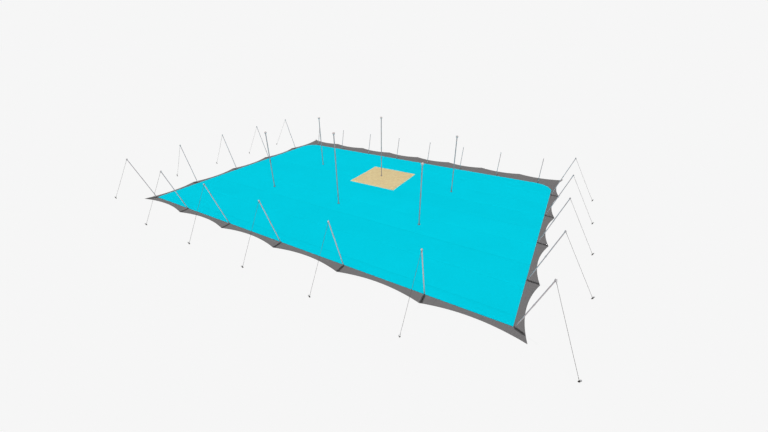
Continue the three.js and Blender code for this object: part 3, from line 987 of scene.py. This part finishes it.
# The ball sits on a short neck. spin is the axis about which its groove runs.
def headShells(centre, axis, look, spin):
    radius, thin, thick = look["head"], look["tube"] - 0.002, look["tube"] + 0.003
    below = -radius - neckLength
    neck = eased([(below, thin), (below, thick), (-radius - 0.004, thick),
                  (-radius * 0.6, min(thick, radius * 0.75))], 0.0015)
    ball = ballProfile(radius, look["groove"], look["grooveWidth"])
    return [turnedShell(centre, axis, neck, look["sides"], tubePart),
            turnedShell(centre, spin, ball, headSides, headPart)]


def makeLeaningPole(node, look, tubeMaterial, spin=None):
    foot, head = footOf(node), headOf(node, look["head"])
    start = foot + up * look["tube"] / 2
    axis = unit(head - start)
    shells = footShells(foot, start, axis, look)
    shells += tubeShells(start, head - axis * look["head"] * intoHead, look)
    shells += headShells(head, axis, look, axis if spin is None else spin)
    makePiece(pieceName(node), shells, [tubeMaterial, footRubber, boltSteel, headPlastic], [node])


def makeKingPole(node):
    look = kingPole
    centre, height = baseOf(node)
    head = centre + up * (height - look["head"])
    flange, thick, socket, tube = look["flange"], look["flangeHeight"], look["socket"], look["tube"]
    grip, top = tube + look["grip"], thick + look["socketHeight"]
    base = eased([(0, flange - 0.002), (0.001, flange), (thick - 0.002, flange), (thick, flange - 0.003),
                  (thick, socket), (thick + 0.006, socket - 0.004), (top, grip), (top + 0.014, grip),
                  (top + 0.014, tube - 0.002)], 0.0018)
    wide, thin, r, tall = look["washer"], look["washerThick"], look["boltHead"], look["boltHeight"]
    washer = eased([(-0.001, wide), (thin, wide), (thin, 0.004)], 0.0005)
    bolt = eased([(0.0, r), (tall - 0.001, r), (tall, 0.003)], 0.001)
    shells = [turnedShell(centre, up, base, look["sides"] + 12, tubePart)]
    for angle in 2 * np.pi * (np.arange(look["bolts"]) + 0.5) / look["bolts"]:
        place = centre + look["boltCircle"] * np.array([math.cos(angle), math.sin(angle), 0]) + up * thick
        shells += [turnedShell(place, up, washer, washerSides, boltPart),
                   turnedShell(place, up, bolt, boltSides, boltPart)]
    shells += tubeShells(centre + up * (thick + 0.002), head - up * look["head"] * intoHead, look)
    shells += headShells(head, up, look, up)
    materials = [kingSteel, footRubber, boltSteel, kingHeadPlastic]
    makePiece(pieceName(node), shells, materials, [node])


# "edge_pole_front_1" becomes "edgePoleFront1"
def pieceName(node):
    words = node.split("_")
    return words[0] + "".join(word.capitalize() for word in words[1:])


# Guys: twisted rope from a loop in the head's groove down to four turns round the stake

guy = {"rope": 0.0069, "pitch": 0.046, "rings": 9, "throat": 0.115, "sag": 0.004, "swell": 0.0018,
       "swellReach": 0.08, "bindLength": 0.055, "bindGrow": 0.0026, "bindPitch": 0.0036, "bindBead": 0.0012,
       "bindAt": 0.085, "bindSides": 18, "turns": 4,
       "loopShare": 0.9, "wrapBulge": 1.7}  # of the rope's radius in the loop, and of a turn round the stake
stake = {"radius": 0.019, "length": 0.150, "lean": 0.44, "hold": 0.062, "head": 0.033, "headHalf": 0.013,
         "shoulder": 0.016, "core": 0.004, "sides": 24}


# Thin cord bound tightly over the rope: a sleeve whose radius ripples by one bead in each turn of the cord
def bindingShell(centre, axis):
    length, pitch = guy["bindLength"], guy["bindPitch"]
    h = np.arange(0, length, pitch / 4)
    r = guy["rope"] + guy["bindGrow"] - guy["bindBead"] * np.abs(np.cos(np.pi * h / pitch))
    inner = guy["rope"] * 0.5
    profile = np.concatenate([[(-0.002, inner)], np.stack([h, r], -1), [(h[-1] + 0.002, inner)]])
    return turnedShell(centre - axis * length / 2, axis, profile, guy["bindSides"])


# The loop lies in the plane of the rope and the line across it: straight from the throat to the ball, round,
# and back
def loopPath(head, toStake, across, radius):
    reach = math.acos(radius / guy["throat"])
    turn = np.linspace(reach, 2 * np.pi - reach, 60)
    around = radius * (np.cos(turn)[:, None] * toStake + np.sin(turn)[:, None] * across)
    throat = toStake * guy["throat"]
    return head + np.concatenate([[throat], around, [throat]])


# The rope sags by 4 * sag * t * (1 - t) and thickens towards both ends by swell * e^(-distance / reach)
def makeGuy(node, head, foot, lean):
    tie = foot + lean * stake["hold"]
    toStake = unit(tie - head)
    across = unit(np.cross(toStake, up))
    step, rope = guy["pitch"] / guy["rings"], guy["rope"]
    loopRadius = edgePole["head"] - edgePole["groove"] + rope * 0.85
    loop = evenPath(loopPath(head, toStake, across, loopRadius), step)
    top, end = head + toStake * (guy["throat"] - 0.02), tie - toStake * stake["radius"] * 0.6
    run = evenPath(np.stack([top, end]), step)
    t = np.linspace(0, 1, len(run))
    run = run - up * (guy["sag"] * 4 * t * (1 - t))[:, None]
    length, reach = np.linalg.norm(end - top), guy["swellReach"]
    swell = guy["swell"] * (np.exp(-t * length / reach) + np.exp(-(1 - t) * length / reach))
    h = np.linspace(-guy["turns"] * rope, guy["turns"] * rope, 12 * guy["turns"] + 1)
    bead = np.sqrt(np.maximum(rope ** 2 - (h % (2 * rope) - rope) ** 2, 0))
    wraps = np.stack([h, stake["radius"] + 0.001 + bead * guy["wrapBulge"]], -1)
    shells = [ropeShell(loop, np.cross(toStake, across), rope * guy["loopShare"], guy["pitch"]),
              ropeShell(run, across, rope, guy["pitch"], swell),
              bindingShell(head + toStake * (guy["throat"] + 0.01), toStake),
              bindingShell(tie - toStake * guy["bindAt"], toStake),
              turnedShell(tie, lean, wraps, stake["sides"], 1)]
    makePiece(pieceName(node).replace("guy", "guyRope"), shells, [ropeFibre, soiledRope], [node])


# A forged round bar with a hammered head, cut level at the ground
def makeStake(node, foot, lean):
    r, length, head, half = stake["radius"], stake["length"], stake["head"], stake["headHalf"]
    shoulder, core, sides = stake["shoulder"], stake["core"], stake["sides"]
    bar = eased([(0, r), (0.5 * length, r), (length - 0.026, r), (length - shoulder, r + 0.004),
                 (length - half, head - 0.004), (length - 0.004, head), (length + 0.007, head - 0.001),
                 (length + half, head - 0.010), (length + half, core)], 0.004)
    last = int(np.argmin(np.abs(bar[:, 0] - length + shoulder)))  # the row where the bright head begins
    shaft = turnedShell(foot, lean, np.concatenate([bar[:last + 1], [(bar[last, 0], core)]]), sides)
    ring = shaft["points"][:sides]
    shaft["points"][:sides] = ring - lean * (ring[:, 2] / lean[2])[:, None]
    gap = 0.0004
    crown = np.concatenate([[(bar[last, 0] + gap, core)], bar[last:] + [gap, 0]])
    makePiece(pieceName(node).replace("guy", "stake"), [shaft, turnedShell(foot, lean, crown, sides, 1)],
              [stakeSteel, struckSteel])


# An edge pole, its guy and its stake
def makeStayedPole(node):
    guyNode = node.replace("edge_pole_", "guy_")
    head, foot = headOf(node, edgePole["head"]), footOf(guyNode)
    toStake = unit(foot - head)
    spin = np.cross(toStake, unit(np.cross(toStake, up)))
    makeLeaningPole(node, edgePole, poleSteel, spin)
    away = unit(np.array([foot[0] - head[0], foot[1] - head[1], 0.0]))
    lean = away * math.sin(stake["lean"]) + up * math.cos(stake["lean"])
    makeGuy(guyNode, head, foot, lean)
    makeStake(guyNode, foot, lean)


for node in sorted(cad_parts):
    if node.startswith("edge_pole_"):
        makeStayedPole(node)
    elif node.startswith("low_pole_"):
        makeLeaningPole(node, lowPole, lowTube)
    elif node.startswith("king_pole_"):
        makeKingPole(node)
print("poles, guys and stakes made")


# Pegs in the back corners

peg = {"radius": 0.016, "cap": 0.030, "capDepth": 0.016, "sides": 28}


def makePeg(node):
    centre, top = baseOf(node)
    r, cap, under = peg["radius"], peg["cap"], top - peg["capDepth"]
    profile = eased([(0, r), (under - 0.01, r), (under, r + 0.006), (under, cap), (top - 0.004, cap),
                     (top, cap - 0.012), (top, 0.003)], 0.003)
    shell = turnedShell(centre, up, profile, peg["sides"])
    makePiece(pieceName(node), [shell], [stakeSteel], [node])


for node in ("corner_peg_left", "corner_peg_right"):
    makePeg(node)
print("pegs made")


# Camera, light and stage

camera = {"place": (12.598, -18.922, 9.850), "toward": (-0.4371, 0.7688, -0.4667), "lens": 15.15,
          "sensor": 36.0, "farthest": 3000.0}
light = {"sun": 0.70 * math.pi, "sunAngle": 0.8, "sky": 0.16, "backdrop": 0.922,
         "fill": 1.17, "fillAngle": 70.0, "fillToward": (-0.458, 0.806, -0.375)}
stageLook = {"size": 1500.0, "glow": 0.882, "base": 0.040}


# Puts a camera or a light in the scene, looking in a direction
def addLooking(data, toward, place=(0, 0, 0)):
    made = bpy.data.objects.new(data.name, data)
    made.location = place
    made.rotation_mode = "QUATERNION"
    made.rotation_quaternion = Vector(toward).to_track_quat("-Z", "Y")
    bpy.context.scene.collection.objects.link(made)
    return made


def makeCamera():
    data = bpy.data.cameras.new("camera")
    data.lens, data.sensor_width, data.clip_end = camera["lens"], camera["sensor"], camera["farthest"]
    bpy.context.scene.camera = addLooking(data, camera["toward"], camera["place"])


def addSun(name, energy, angle, toward):
    data = bpy.data.lights.new(name, "SUN")
    data.energy, data.angle = energy, math.radians(angle)
    addLooking(data, toward)


# A high sun straight above, a broad soft fill from the camera's side and an even sky. Behind everything the
# sky shows as a plain pale backdrop.
def makeLight():
    addSun("sun", light["sun"], light["sunAngle"], (0.0, 0.0, -1.0))
    addSun("fill", light["fill"], light["fillAngle"], light["fillToward"])
    world = bpy.data.worlds.new("studio")
    bpy.context.scene.world = world
    world.use_nodes = True
    tree = world.node_tree
    sky = tree.nodes["Background"]
    setInputs(tree, sky, {"Color": (1, 1, 1, 1), "Strength": light["sky"]})
    backdrop = addNode(tree, "Background", {"Color": (1, 1, 1, 1), "Strength": light["backdrop"]})[0]
    seen = addNode(tree, "LightPath", {})["Is Camera Ray"]
    either = addNode(tree, "MixShader", {0: seen, 1: sky.outputs[0], 2: backdrop})[0]
    setInputs(tree, tree.nodes["World Output"], {"Surface": either})


# A wide pale floor that glows a little, so that shadows on it stay faint
def makeStage():
    mesh = bpy.data.meshes.new("stageFloor")
    corners = [(*corner, 0) for corner in stageLook["size"] * square]
    mesh.from_pydata(corners, [], [range(4)])
    floor = bpy.data.objects.new("stageFloor", mesh)
    bpy.context.scene.collection.objects.link(floor)
    paleTone = (stageLook["base"],) * 3 + (1,)
    mesh.materials.append(newMaterial("palePaint", {
        "Base Color": paleTone, "Roughness": 1.0, "Specular IOR Level": 0.0,
        "Emission Color": (1, 1, 1, 1), "Emission Strength": stageLook["glow"],
    })[0])


makeCamera()
makeLight()
makeStage()
bpy.context.scene.view_settings.view_transform = "Standard"
print("camera, light and stage made")

bpy.context.view_layer.update()
